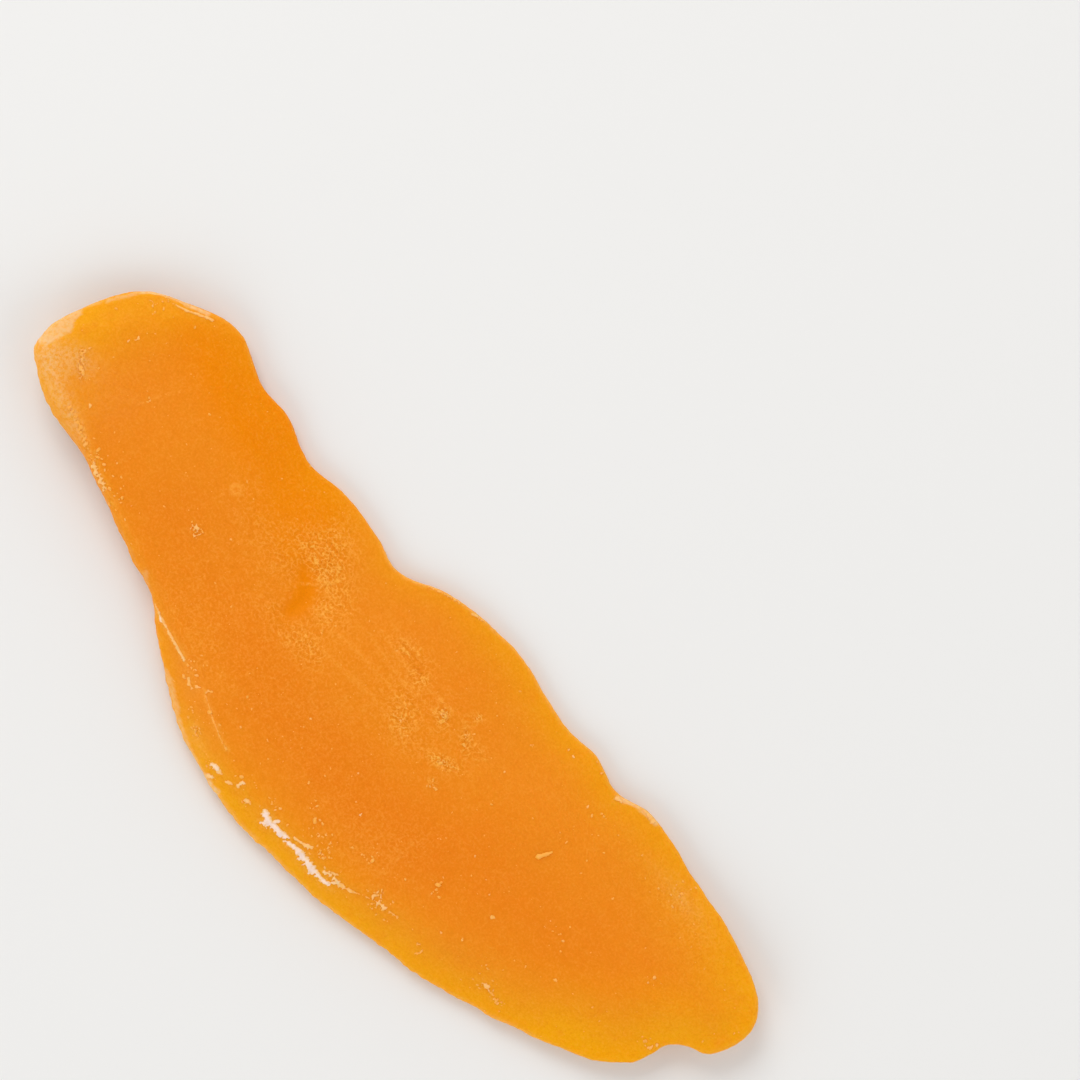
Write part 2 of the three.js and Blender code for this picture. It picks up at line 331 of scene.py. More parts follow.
# Crusts of sugar, which follow the arris of the bevel, the creases and the rims: the points that each
# follows, its half width at its start and at its end, how ragged it is and how white.
CRUSTS = {
    "head of the streak": (
        [(1.8, -16.2), (2.6, -16.5), (3.4, -16.5), (4.2, -16.4), (5.0, -16.3)], 0.56, 0.48, 0.5, 1.05
    ),
    "end of the head": ([(5.0, -16.3), (5.9, -16.0)], 0.5, 0.28, 0.6, 1.0),
    "left arm": ([(2.4, -17.4), (3.1, -16.6)], 0.26, 0.5, 0.8, 0.9),
    "right arm": ([(3.3, -16.4), (3.6, -15.5)], 0.42, 0.24, 0.7, 0.8),
    "tail of the streak": ([(6.0, -16.5), (6.5, -16.3), (7.4, -16.0), (8.4, -16.1)], 0.28, 0.5, 0.7, 1.0),
    "middle of the tail": ([(8.4, -16.1), (9.6, -16.2), (10.4, -16.3)], 0.56, 0.66, 0.7, 1.05),
    "end of the tail": ([(10.4, -16.3), (11.7, -16.2), (12.6, -16.1), (13.3, -15.8)], 0.6, 0.24, 0.7, 0.95),
    "lace": ([(11.7, -15.2), (12.5, -15.0), (13.3, -14.9), (14.2, -14.8)], 0.22, 0.34, 1.3, 0.5),
    "end of the lace": ([(14.2, -14.8), (15.0, -14.6), (16.0, -14.1)], 0.32, 0.16, 1.4, 0.25),
    "link": ([(13.2, -15.8), (13.6, -15.0)], 0.22, 0.22, 0.9, 0.6),
    "wisp past the lace": ([(15.7, -14.2), (16.8, -13.6), (17.7, -13.1)], 0.12, 0.1, 1.5, 0.0),
    "upper lace": ([(12.1, -14.8), (13.1, -14.3)], 0.14, 0.18, 1.1, 0.25),
    "strand": ([(6.3, -15.4), (7.0, -15.2), (7.5, -15.1), (8.5, -14.6)], 0.16, 0.28, 0.8, 0.4),
    "blot": ([(17.9, -12.6), (18.2, -12.1)], 0.28, 0.3, 2.2, 0.35),
    "second blot": ([(19.0, -12.6), (19.9, -12.4)], 0.28, 0.32, 2.2, 0.35),
    "specks by the blots": ([(17.8, -11.7), (18.0, -11.5)], 0.26, 0.22, 2.0, 0.2),
    "crumbs along the neck": ([(-50.6, -2.5), (-49.8, -2.7), (-47.6, -3.4)], 0.22, 0.22, 2.9, 0.0),
    "crumbs in the frost": ([(-54.5, 2.8), (-53.4, 1.5), (-52.2, 0.8)], 0.28, 0.26, 2.8, 0.1),
    "fleck in the neck": ([(-30.1, -0.6), (-29.4, -0.5), (-29.0, -0.9)], 0.28, 0.24, 2.4, 0.2),
    "more crumbs along the neck": ([(-47.6, -3.4), (-44.9, -4.4), (-43.6, -4.9)], 0.22, 0.24, 2.9, 0.05),
    "last crumbs along the neck": ([(-43.6, -4.9), (-41.3, -5.6), (-40.5, -5.9)], 0.24, 0.32, 2.3, 0.3),
    "specks past the blots": ([(20.4, -12.4), (21.7, -12.0)], 0.12, 0.16, 1.6, 0.1),
    "blob at the bevel": ([(-6.7, -17.4), (-6.2, -17.2)], 0.4, 0.4, 0.7, 0.75),
    "end of that blob": ([(-5.7, -17.3), (-5.3, -17.3)], 0.32, 0.28, 0.8, 0.45),
    "blob at the rim": ([(-6.2, -18.6), (-5.5, -18.3)], 0.26, 0.22, 0.9, 0.5),
    "fleck": ([(-4.0, -17.3), (-3.4, -17.1)], 0.24, 0.22, 1.4, 0.3),
    "slanting fleck": ([(-2.8, -16.6), (-2.7, -15.9)], 0.32, 0.28, 0.5, 0.55),
    "fleck before the streak": ([(-0.8, -17.0), (-0.4, -16.9)], 0.34, 0.28, 1.1, 0.3),
    "bright end of the upper crease": ([(-24.5, -10.7), (-23.8, -10.9)], 0.26, 0.24, 0.5, 0.8),
    "upper crease": (
        [(-27.4, -10.0), (-25.7, -10.3), (-23.6, -10.8), (-21.2, -11.3), (-20.0, -11.5)], 0.16, 0.2, 0.6, 0.3
    ),
    "end of the upper crease": ([(-20.2, -11.5), (-18.6, -11.8)], 0.2, 0.26, 0.5, 0.4),
    "lower crease": ([(-13.6, -12.5), (-11.3, -13.5), (-8.6, -14.5), (-7.0, -14.8)], 0.09, 0.13, 0.9, 0.0),
    "crease fleck": ([(-16.4, -12.8), (-16.0, -13.2), (-15.3, -13.3)], 0.2, 0.16, 1.0, 0.2),
    "crossing fleck": ([(-15.2, -12.7), (-14.7, -12.4)], 0.2, 0.16, 1.0, 0.2),
    "lower crossing fleck": ([(-13.8, -11.9), (-13.4, -11.6)], 0.18, 0.14, 1.0, 0.1),
    "scribble by the blunt rim": ([(-54.4, 12.7), (-53.9, 13.0), (-53.4, 12.6)], 0.12, 0.14, 1.0, 0.1),
    "line inside the blunt rim": (
        [(-51.8, 14.8), (-50.9, 15.2), (-49.9, 15.7), (-48.7, 16.5), (-47.6, 17.0)], 0.15, 0.22, 0.5, 0.25
    ),
    "kink in the far rim": ([(27.7, 17.2), (28.3, 17.4)], 0.32, 0.26, 0.6, 0.35),
    "far rim past the kink": ([(31.4, 18.8), (32.5, 18.8)], 0.26, 0.34, 1.0, 0.3),
    "far rim": ([(-7.3, 15.85), (-5.1, 16.9), (-3.5, 17.6), (-2.4, 18.0)], 0.12, 0.13, 1.5, 0.1),
    "far rim, middle": ([(-0.5, 18.2), (0.1, 18.5)], 0.2, 0.16, 0.9, 0.2),
    "far rim, end": ([(0.3, 18.5), (1.5, 18.8), (2.9, 19.1)], 0.12, 0.1, 1.5, 0.05),
    "notch": ([(53.0, 0.8), (53.3, 1.5), (53.4, 2.0)], 0.16, 0.16, 1.6, 0.2),
    "dusting by the lobed edge": ([(34.6, -9.3), (35.2, -9.0)], 0.36, 0.34, 1.8, 0.3),
    "second dusting": ([(36.0, -9.3), (37.2, -9.7)], 0.22, 0.22, 1.9, 0.0),
    "sugared pore": ([(28.8, -3.3), (29.0, -3.2)], 0.26, 0.26, 0.3, 0.1),
    "hook by the lobed edge": ([(25.7, -12.4), (25.9, -12.0)], 0.14, 0.12, 0.8, 0.05),
    "arc by the lobed edge": ([(26.4, -13.3), (26.7, -12.9), (26.6, -12.3)], 0.18, 0.14, 0.8, 0.1),
}

# Spots of sugar that stand out: along, across, radius and whiteness.
SPOTS = [
    (9.3, -7.5, 0.24, 0.5),
    (-53.8, 2.0, 0.24, 0.2),
    (-40.9, -4.1, 0.16, 0.1),
    (-42.1, -4.3, 0.16, 0.1),
    (-39.1, -4.3, 0.16, 0.1),
    (-37.8, -5.4, 0.16, 0.1),
    (-36.7, -4.7, 0.14, 0.05),
    (-54.3, 3.6, 0.2, 0.15),
    (-52.5, 1.2, 0.2, 0.05),
    (-49.0, -0.7, 0.24, 0.2),
    (-52.0, 7.7, 0.2, 0.2),
    (-51.6, 8.8, 0.26, 0.2),
    (-46.0, 5.6, 0.16, 0.05),
    (-25.9, 1.9, 0.16, 0.05),
    (-26.7, 14.7, 0.16, 0.1),
    (-4.6, -10.3, 0.24, 0.15),
    (-8.1, -11.7, 0.17, 0.05),
    (-11.1, -11.2, 0.18, 0.1),
    (-8.8, -9.3, 0.16, 0.0),
    (2.3, -9.7, 0.18, 0.05),
    (5.4, -4.5, 0.17, 0.1),
    (7.8, -6.9, 0.18, 0.1),
    (13.3, -10.3, 0.14, 0.0),
    (14.1, -8.9, 0.16, 0.1),
    (11.7, -10.8, 0.18, 0.1),
    (5.1, -11.4, 0.17, 0.05),
    (7.2, -11.7, 0.18, 0.15),
    (8.5, -12.2, 0.18, 0.15),
    (7.0, -12.9, 0.18, 0.05),
    (8.1, -13.0, 0.18, 0.1),
    (9.6, -12.4, 0.18, 0.1),
    (9.9, -13.1, 0.18, 0.1),
    (9.4, -14.3, 0.16, 0.05),
    (10.1, -14.1, 0.2, 0.1),
    (6.6, -13.3, 0.14, 0.0),
    (4.6, -15.1, 0.16, 0.0),
    (2.3, -15.0, 0.17, 0.2),
    (1.5, -14.8, 0.16, 0.1),
    (0.7, -16.1, 0.13, 0.1),
    (16.5, 9.1, 0.18, 0.1),
    (17.7, -2.0, 0.14, 0.05),
    (21.4, -4.7, 0.14, 0.05),
    (22.0, -0.2, 0.15, 0.1),
    (25.0, -0.9, 0.15, 0.1),
    (26.6, -1.8, 0.17, 0.1),
    (26.4, -9.2, 0.2, 0.15),
    (28.7, -7.8, 0.2, 0.1),
    (33.7, 1.8, 0.17, 0.15),
    (33.8, 0.8, 0.16, 0.1),
    (36.0, -4.0, 0.15, 0.05),
    (26.2, 13.9, 0.24, 0.2),
    (20.4, 16.5, 0.22, 0.3),
    (-5.7, 12.6, 0.13, 0.05),
    (-1.9, 15.9, 0.13, 0.05),
    (1.8, 13.8, 0.13, 0.0),
    (39.5, -2.3, 0.2, 0.0),
    (19.5, 16.6, 0.16, 0.1),
    (24.2, 17.8, 0.2, 0.1),
    (27.7, 9.4, 0.2, 0.1),
    (26.3, 9.5, 0.14, 0.05),
    (34.8, 15.2, 0.16, 0.05),
    (42.0, 17.6, 0.2, 0.1),
    (36.5, 9.2, 0.18, 0.05),
    (39.7, 3.1, 0.15, 0.1),
    (47.9, 7.1, 0.15, 0.05),
    (43.5, 8.4, 0.15, 0.05),
    (44.9, -1.1, 0.15, 0.05),
    (25.6, -12.2, 0.17, 0.1),
]

# Clusters of grains: along, across, reach and how many grains.
CLUSTERS = [
    (-17.0, -11.4, 1.5, 16),
    (-13.0, -14.8, 2.2, 14),
    (-11.3, -16.3, 0.9, 14),
    (-7.0, -17.2, 1.0, 8),
    (-53.0, 14.8, 1.0, 10),
    (-2.0, -7.2, 2.6, 9),
    (-2.2, -15.4, 1.6, 8),
    (2.0, -14.6, 0.9, 7),
    (5.2, -11.2, 0.9, 6),
    (8.6, -13.2, 2.0, 26),
    (10.5, -14.2, 1.2, 10),
    (14.2, -9.6, 1.6, 12),
    (19.0, -12.6, 2.0, 26),
    (22.1, -6.1, 0.8, 9),
    (12.3, 1.4, 1.0, 8),
    (6.6, 7.8, 0.8, 14),
    (4.0, 3.4, 1.4, 8),
    (11.0, 4.3, 1.0, 12),
    (10.5, 8.0, 0.9, 9),
    (9.5, 10.8, 0.4, 4),
    (-29.4, -0.5, 1.2, 8),
    (-44.8, 5.0, 0.8, 6),
    (-52.5, 12.4, 1.6, 8),
    (-53.6, 1.8, 1.8, 16),
    (-43.5, -4.6, 2.4, 22),
    (-38.5, -5.4, 2.6, 20),
    (29.0, 14.5, 2.4, 8),
    (34.0, -9.2, 1.8, 12),
    (37.4, -9.6, 1.2, 12),
    (36.0, 1.6, 2.2, 8),
    (41.5, 14.8, 3.0, 16),
    (47.0, 6.4, 1.6, 5),
    (52.0, 1.0, 1.2, 6),
]

# Slivers of flesh that have stuck to the face: the points that each follows, and its half width at its start
# and at its end.
FLAKES = {
    "sliver": ([(26.9, 5.6), (27.2, 6.4), (27.5, 7.2)], 0.4, 0.2),
}

# Crisp pale bands on the rims and the facet of the tip, partly dry sugar and partly painted sheen where these
# faces catch the light: the points that each follows, its half width and how pale it is.
BANDS = {
    "facet of the tip": ([(-59.1, 0.6), (-58.8, 2.0), (-58.6, 3.0)], 1.15, 0.66),
    "end of the facet": ([(-58.6, 3.0), (-58.8, 4.2), (-58.9, 5.2)], 0.65, 0.66),
    "rim past the facet": ([(-59.1, 5.3), (-58.4, 7.1), (-57.9, 8.2)], 0.12, 0.25),
    "rim before the corner": ([(-57.5, 8.9), (-57.0, 9.9), (-56.4, 11.3), (-55.9, 12.4)], 0.14, 0.5),
    "corner of the blunt end": ([(-55.7, 12.8), (-55.0, 13.8), (-54.2, 14.4), (-53.2, 15.1)], 0.2, 0.85),
    "blunt rim": ([(-53.2, 15.1), (-51.9, 15.7), (-50.6, 16.2), (-48.6, 17.1)], 0.17, 0.75),
    "lip of the bevel": ([(-19.1, -14.7), (-17.9, -15.0), (-16.3, -15.8), (-14.4, -16.6)], 0.4, 0.42),
    "middle of that lip": ([(-14.4, -16.6), (-12.3, -17.5), (-10.5, -18.0)], 0.22, 0.45),
    "end of that lip": ([(-10.5, -18.0), (-9.1, -18.3), (-7.9, -18.5), (-6.5, -18.8)], 0.16, 0.6),
    "lip under the blobs": ([(-6.5, -18.8), (-5.2, -19.0), (-3.9, -19.0)], 0.2, 0.8),
    "rim before the crease": ([(-29.6, -8.6), (-27.4, -10.2), (-25.0, -11.3)], 0.22, 0.3),
    "kink in the far rim": ([(27.9, 17.5), (28.7, 18.0), (29.5, 18.45), (30.3, 18.8)], 0.22, 0.65),
    "far rim past the kink": ([(30.3, 18.8), (31.1, 19.0), (32.1, 19.05), (32.8, 19.0)], 0.36, 0.6),
}

UP = Vector((0, 0, 1))
HIGH_ABOVE = 0.05  # metres: a height from which every ray down meets the slice


def objects_from(shape, name):
    """A new object in the scene from a bmesh, which is freed."""
    mesh = bpy.data.meshes.new(name)
    shape.to_mesh(mesh)
    shape.free()
    made = bpy.data.objects.new(name, mesh)
    bpy.context.scene.collection.objects.link(made)
    return made


def apply_modifiers(piece):
    """Makes what the modifiers show the piece's own mesh."""
    graph = bpy.context.evaluated_depsgraph_get()
    shown = piece.evaluated_get(graph)
    mesh = bpy.data.meshes.new_from_object(shown)
    piece.modifiers.clear()
    piece.data = mesh
    mesh.name = piece.name


def places(mesh):
    """The points of a mesh as rows of millimetres."""
    rows = np.zeros(len(mesh.vertices) * 3, np.float32)
    mesh.vertices.foreach_get("co", rows)
    return rows.reshape(-1, 3).astype(float) / MM


def place(mesh, rows):
    """Moves the points of a mesh to rows of millimetres."""
    mesh.vertices.foreach_set("co", (rows * MM).astype(np.float32).ravel())
    mesh.update()


def normals(mesh):
    """The normals of a mesh at its points."""
    rows = np.zeros(len(mesh.vertices) * 3, np.float32)
    mesh.vertex_normals.foreach_get("vector", rows)
    return rows.reshape(-1, 3).astype(float)


def rounded(path, rounds=3):
    """A path with its corners cut off again and again, until it is smooth."""
    path = np.array(path, float)
    for _ in range(rounds):
        cuts = np.stack([0.75 * path[:-1] + 0.25 * path[1:], 0.25 * path[:-1] + 0.75 * path[1:]], 1)
        path = np.vstack([path[:1], cuts.reshape(-1, 2), path[-1:]])
    return path


def from_path(plan, path):
    """How far each place is from a path."""
    path = rounded(path)
    near = np.full(len(plan), np.inf)
    for start, end in zip(path, path[1:]):
        along = np.clip((plan - start) @ (end - start) / ((end - start) @ (end - start)), 0, 1)
        near = np.minimum(near, np.linalg.norm(plan - start - along[:, None] * (end - start), axis=1))
    return near


def patches(plan, rows):
    """How strongly each place belongs to a set of soft patches, from 0 to 1."""
    total = np.zeros(len(plan))
    for along, across, reach_along, reach_across, turn, strength in rows:
        turned = math.radians(turn)
        x, y = plan[:, 0] - along, plan[:, 1] - across
        u = (x * math.cos(turned) + y * math.sin(turned)) / reach_along
        v = (y * math.cos(turned) - x * math.sin(turned)) / reach_across
        total += strength * np.exp(-u * u - v * v)
    return np.clip(total, 0, 1)


def ramp(values, low, high):
    """Values eased from 0 at low to 1 at high."""
    share = np.clip((values - low) / (high - low), 0, 1)
    return share * share * (3 - 2 * share)


def waves(rows, wavelength, layer):
    """Smooth noise between about -1 and 1 at each place."""
    shift = Vector((layer * 17.3, layer * 5.1, layer * 9.7))
    return np.array([noise.noise(Vector(row) / wavelength + shift) for row in rows])


def keep_values(mesh, name, values):
    """Stores a number at each point of a mesh, for its material."""
    stored = mesh.attributes.new(name, "FLOAT", "POINT")
    stored.data.foreach_set("value", values.astype(np.float32))


def rim_look(plan):
    """The rim nearest to each place, as the four numbers that a row of RIM ends with."""
    rows = np.array(RIM)
    apart = np.linalg.norm(plan[:, None] - rows[None, :, :2], axis=2)
    apart -= apart.min(axis=1, keepdims=True)
    weight = np.exp(-apart / RIM_BLEND)
    weight /= weight.sum(axis=1, keepdims=True)
    return (weight @ rows[:, 2:]).T


def rim_distance(rows, facing):
    """How far each point is from the rim, seen from above, in millimetres."""
    rim = rows[np.abs(facing[:, 2]) < RIM_NORMAL]
    tree = KDTree(len(rim))
    for i, (x, y, _) in enumerate(rim):
        tree.insert((x, y, 0), i)
    tree.balance()
    return np.array([tree.find((x, y, 0))[2] for x, y, _ in rows])


def smooth_copy(spacing):
    """The fixed slice as a smooth, even and fine mesh."""
    shape = bmesh.new()
    shape.from_mesh(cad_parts[SOLID].data)
    bmesh.ops.remove_doubles(shape, verts=shape.verts, dist=MM / 1000)
    bmesh.ops.join_triangles(
        shape,
        faces=shape.faces,
        angle_face_threshold=math.radians(60),
        angle_shape_threshold=math.radians(180),
    )
    flesh = objects_from(shape, "flesh")
    rounding = flesh.modifiers.new("rounding", "SUBSURF")
    rounding.levels = rounding.render_levels = 2
    even = flesh.modifiers.new("even", "REMESH")
    even.mode = "VOXEL"
    even.voxel_size = spacing
    even.use_smooth_shade = True
    apply_modifiers(flesh)
    return flesh


# Heights and wavelengths in millimetres: of the waves of both faces, of the grain and of the frost.
WAVES = [(0.15, 11.0), (0.08, 4.6), (0.032, 2.1), (0.016, 1.0)]
GRAIN_HEIGHT, GRAIN_WAVE = 0.03, 0.62
FROST_HEIGHT, FROST_WAVE = 0.05, 0.9

RIM_NORMAL = 0.35  # the rim is where the solid's normal rises less than this
RIM_REACH = 0.7  # how far in from the rim its teeth and swellings reach, in millimetres
# The pale lip is partly a painted highlight along the rim's edge
LIP_REACH = 0.3  # how far in its pale lip reaches, in millimetres
BELLY_HEIGHT = 0.05  # what lies lower than this is the flat belly, in millimetres
BAND_EDGE = 0.2  # how soft the edge of a pale band is, in millimetres
FILM_EDGE = 0.25  # how far a film of sugar reaches past its crust, in millimetres


def shape_relief(flesh, settings):
    """Moves the fine mesh's points into waves, marks and a toothed rim, and stores its looks."""
    mesh = flesh.data
    rows, facing = places(mesh), normals(mesh)
    plan = rows[:, :2]
    inward = rim_distance(rows, facing)
    upward = ramp(facing[:, 2], 0.3, 0.8)
    bevelled = ramp(BEVELLED_SIDE - rows[:, 1], -3, 3) * ramp(rows[:, 0], 48, 38)

    raised = np.zeros(len(rows))
    for layer, (height, wavelength) in enumerate(WAVES):
        raised += settings.waviness * height * waves(rows, wavelength, layer)
    marks_light_and_shade = np.zeros(len(rows))
    for path, half_width, height, light_and_shade in MARKS.values():
        profile = upward * np.exp(-((from_path(plan, path) / half_width) ** 2))
        raised += height * profile
        # Painted highlight along raised marks, painted shade in the folds and the dimple
        marks_light_and_shade += light_and_shade * profile
    clear = patches(plan, PATCHES["clear"])
    glints = patches(plan, PATCHES["glints"]) * (1 - 0.9 * clear)
    frost = patches(plan, PATCHES["frost"])
    raised += upward * glints * GRAIN_HEIGHT * waves(rows, GRAIN_WAVE, 11)
    raised += frost * FROST_HEIGHT * waves(rows, FROST_WAVE, 12)
    raised *= np.where(rows[:, 2] < BELLY_HEIGHT, 0, 1)

    rim = np.exp(-((inward / RIM_REACH) ** 2))
    teeth = settings.serration / MM * (waves(rows, 0.95, 21) + 0.6 * waves(rows, 0.55, 22))
    golden, reach, lip, fuller = rim_look(plan)
    swell = settings.plumpness * fuller + teeth * (0.35 + 0.65 * bevelled)
    sideways = facing * np.array([1, 1, 0.2])
    rows = rows + facing * raised[:, None] + sideways * (rim * swell)[:, None]
    rows[:, 2] = np.maximum(rows[:, 2], 0)
    place(mesh, rows)

    keep_values(mesh, "golden", golden * np.exp(-((inward / reach) ** 1.6)))
    # The lip: crumbs of sugar and a painted highlight along the rim's edge
    keep_values(mesh, "lip", lip * np.exp(-((inward / LIP_REACH) ** 2)) * ramp(facing[:, 2], -0.4, 0.2))
    wobble = 0.12 * waves(rows, 0.7, 31)
    pale = np.zeros(len(rows))
    # Pale bands: partly dry sugar, partly painted sheen on the rims and the facet
    for path, half_width, paleness in BANDS.values():
        outside = ramp(from_path(plan, path) + wobble, half_width, half_width + BAND_EDGE)
        pale = np.maximum(pale, paleness * (1 - outside))
    keep_values(mesh, "pale", pale * ramp(facing[:, 2], -0.1, 0.5))
    keep_values(mesh, "deep", patches(plan, PATCHES["deep"]))
    keep_values(mesh, "clear", clear)
    keep_values(mesh, "glints", glints * upward)
    keep_values(mesh, "frost", frost)
    film = np.zeros(len(rows))
    for path, start_width, end_width, _, white in CRUSTS.values():
        film_width = max(start_width, end_width) + FILM_EDGE
        film = np.maximum(film, white * np.exp(-((from_path(plan, path) / film_width) ** 2)))
    for path, half_width, strength in LINES:
        film = np.maximum(film, strength * np.exp(-((from_path(plan, path) / half_width) ** 2)))
    keep_values(mesh, "film", film)
    keep_values(mesh, "marks_light_and_shade", marks_light_and_shade)


def new_material(name):
    """An empty node material with its shader: the material, its node tree and the shader's inputs."""
    material = bpy.data.materials.new(name)
    material.use_nodes = True
    tree = material.node_tree
    tree.nodes.clear()
    shader = tree.nodes.new("ShaderNodeBsdfPrincipled")
    output = tree.nodes.new("ShaderNodeOutputMaterial")
    tree.links.new(shader.outputs["BSDF"], output.inputs["Surface"])
    return material, tree, shader.inputs


def add(tree, kind, inputs, **settings):
    """A node with its settings. Each input is either a value or another node's output."""
    made = tree.nodes.new(kind)
    for name, value in settings.items():
        setattr(made, name, value)
    for socket, value in inputs.items():
        if isinstance(value, bpy.types.NodeSocket):
            tree.links.new(value, made.inputs[socket])
        else:
            made.inputs[socket].default_value = value
    return made


def mixed(tree, share, first, second):
    """The output of a node that mixes two colours."""
    colours = {0: share}
    for socket, value in ((6, first), (7, second)):
        colours[socket] = value if isinstance(value, bpy.types.NodeSocket) else (*value, 1)
    return add(tree, "ShaderNodeMix", colours, data_type="RGBA").outputs[2]


def eased(tree, value, low, high, top=1.0):
    """The output of a node that eases a value from 0 at low to top at high."""
    spans = {"Value": value, "From Min": low, "From Max": high, "To Min": 0.0, "To Max": top}
    return add(tree, "ShaderNodeMapRange", spans, interpolation_type="SMOOTHSTEP").outputs["Result"]


def between(tree, value, low, high):
    """The output of a node that brings a value from 0 at low to 1 at high."""
    spans = {"Value": value, "From Min": low, "From Max": high}
    return add(tree, "ShaderNodeMapRange", spans).outputs["Result"]


def times(tree, first, second):
    """The product of two values."""
    return add(tree, "ShaderNodeMath", {0: first, 1: second}, operation="MULTIPLY").outputs[0]


def plus(tree, first, second):
    """The sum of two values."""
    return add(tree, "ShaderNodeMath", {0: first, 1: second}, operation="ADD").outputs[0]


def stored(tree, name):
    """The number stored at each point under a name."""
    return add(tree, "ShaderNodeAttribute", {}, attribute_name=name).outputs["Fac"]


def mottle(tree, where, size_mm, detail=2.0, roughness=0.5):
    """Noise between 0 and 1 whose features are about size_mm across."""
    inputs = {"Vector": where, "Scale": 1 / (size_mm * MM), "Detail": detail, "Roughness": roughness}
    return add(tree, "ShaderNodeTexNoise", inputs).outputs["Fac"]


def flesh_material(settings):
    """Satin, slightly translucent fruit flesh."""
    material, tree, shader = new_material("dried flesh")
    where = add(tree, "ShaderNodeTexCoord", {}).outputs["Object"]
    golden, lip = stored(tree, "golden"), stored(tree, "lip")
    deep, clear, pale = stored(tree, "deep"), stored(tree, "clear"), stored(tree, "pale")
    frost, glints = stored(tree, "frost"), stored(tree, "glints")

    # The flesh: deeper and clearer in patches, and golden towards the rim.
    cloudy = mottle(tree, where, 12, 3)
    depth = plus(tree, times(tree, deep, 0.8), eased(tree, cloudy, 0.45, 0.75, 0.3))
    flesh = mixed(tree, depth, settings.body_colour, settings.deep_colour)
    flesh = mixed(tree, clear, flesh, settings.clear_colour)
    streaky = mottle(tree, where, 2.6, 4, 0.6)
    flesh = mixed(tree, times(tree, golden, eased(tree, streaky, 0, 0.5)), flesh, settings.golden_colour)

    # Grain: a fine linen, and worm-like ridges where it glints. Its rises are painted highlights in the glint
    # colour and its dips painted shade in the hollow colour, over the real bump further down.
    linen = plus(tree, mottle(tree, where, 0.3, 3, 0.7), -0.5)
    pebbled = plus(tree, mottle(tree, where, 0.33, 1, 0.6), -0.5)
    winding = plus(tree, mottle(tree, where, 0.65, 1, 0.5), -0.5)
    ridges = eased(tree, add(tree, "ShaderNodeMath", {0: winding}, operation="ABSOLUTE").outputs[0], 0.09, 0)
    rough = plus(tree, times(tree, pebbled, 3.0), plus(tree, ridges, -0.1))
    rough = times(tree, plus(tree, rough, 0.12), glints)
    patchy = plus(tree, mottle(tree, where, 1.5, 5, 0.65), -0.5)
    grain_light_and_shade = plus(tree, plus(tree, times(tree, linen, 1.3), rough), times(tree, patchy, 0.35))
    grain_light_and_shade = plus(tree, grain_light_and_shade, stored(tree, "marks_light_and_shade"))
    # Painted highlight where the grain and the marks rise, painted shade where they sink
    flesh = mixed(tree, between(tree, grain_light_and_shade, 0, 1), flesh, settings.glint_and_film_colour)
    flesh = mixed(tree, between(tree, grain_light_and_shade, 0, -1), flesh, settings.shaded_hollow_colour)

    # Bloom and sheen: a net of pale sugar over the frosted end, and pale rims, whose lip and bands are partly
    # painted highlight and sheen.
    net = eased(tree, mottle(tree, where, 0.45, 3, 0.7), 0.38, 0.64)
    frosted = times(tree, plus(tree, times(tree, net, 0.75), 0.2), frost)
    crumbs = eased(tree, mottle(tree, where, 0.5, 2, 0.6), 0.3, 0.6)
    grit = eased(tree, mottle(tree, where, 0.4, 3, 0.7), 0.4, 0.65)
    # Lit: the lip of the rim, crumbs of sugar with a painted highlight along the edge
    lit = times(tree, plus(tree, times(tree, crumbs, 0.8), 0.4), lip)
    bloom_and_sheen = plus(tree, times(tree, frosted, 0.65), times(tree, lit, 0.2))
    bloom_and_sheen = plus(tree, bloom_and_sheen, times(tree, pale, plus(tree, times(tree, crumbs, 0.6), 0.5)))
    filmed = times(tree, stored(tree, "film"), times(tree, grit, 0.8))
    # Warmed: the sugar film and the frost, and the painted highlight of the lip
    warmed = plus(tree, plus(tree, filmed, lit), times(tree, frosted, 0.6))
    flesh = mixed(tree, warmed, flesh, settings.glint_and_film_colour)
    flesh = mixed(tree, bloom_and_sheen, flesh, settings.bloom_and_sheen_colour)
    tree.links.new(flesh, shader["Base Color"])

    # Gloss: a dry satin, rougher under the pale sugar and the painted sheen.
    worn = plus(tree, times(tree, mottle(tree, where, 3.2, 3), 0.14), settings.roughness - 0.07)
    tree.links.new(plus(tree, worn, times(tree, bloom_and_sheen, 0.25)), shader["Roughness"])

    # Relief too fine for the mesh.
    raised = plus(tree, times(tree, linen, 0.7), times(tree, rough, 0.5))
    raised = plus(tree, raised, times(tree, net, times(tree, frost, 0.3)))
    bump = add(tree, "ShaderNodeBump", {"Height": raised, "Strength": 1.0, "Distance": 0.1 * MM})
    tree.links.new(bump.outputs["Normal"], shader["Normal"])

    shader["Subsurface Weight"].default_value = 0.3
    shader["Subsurface Radius"].default_value = (1.0, 0.42, 0.1)
    shader["Subsurface Scale"].default_value = 1.4 * MM
    shader["Specular IOR Level"].default_value = 0.06
    shader["IOR"].default_value = 1.42
    return material


class MANGO_OT_flesh(bpy.types.Operator):
    """Makes the fruit flesh in the place of the plain solid"""

    bl_idname = "mango.flesh"
    bl_label = "Make the flesh"

    def execute(self, context):
        settings = context.scene.mango_flesh
        flesh = smooth_copy(settings.spacing)
        shape_relief(flesh, settings)
        flesh.data.materials.append(flesh_material(settings))
        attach(flesh, BODY)
        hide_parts(SOLID)
        return {"FINISHED"}


def surface_finder(context):
    """A function that finds the flesh's surface over or under a place: its point in metres and its normal."""
    flesh = context.scene.objects["flesh"]
    shape = bmesh.new()
    shape.from_mesh(flesh.data)
    tree = BVHTree.FromBMesh(shape)
    shape.free()

    def find(x, y, side=1):
        point, normal, _, _ = tree.ray_cast(Vector((x * MM, y * MM, side * HIGH_ABOVE)), -side * UP)
        return point, normal

    return find


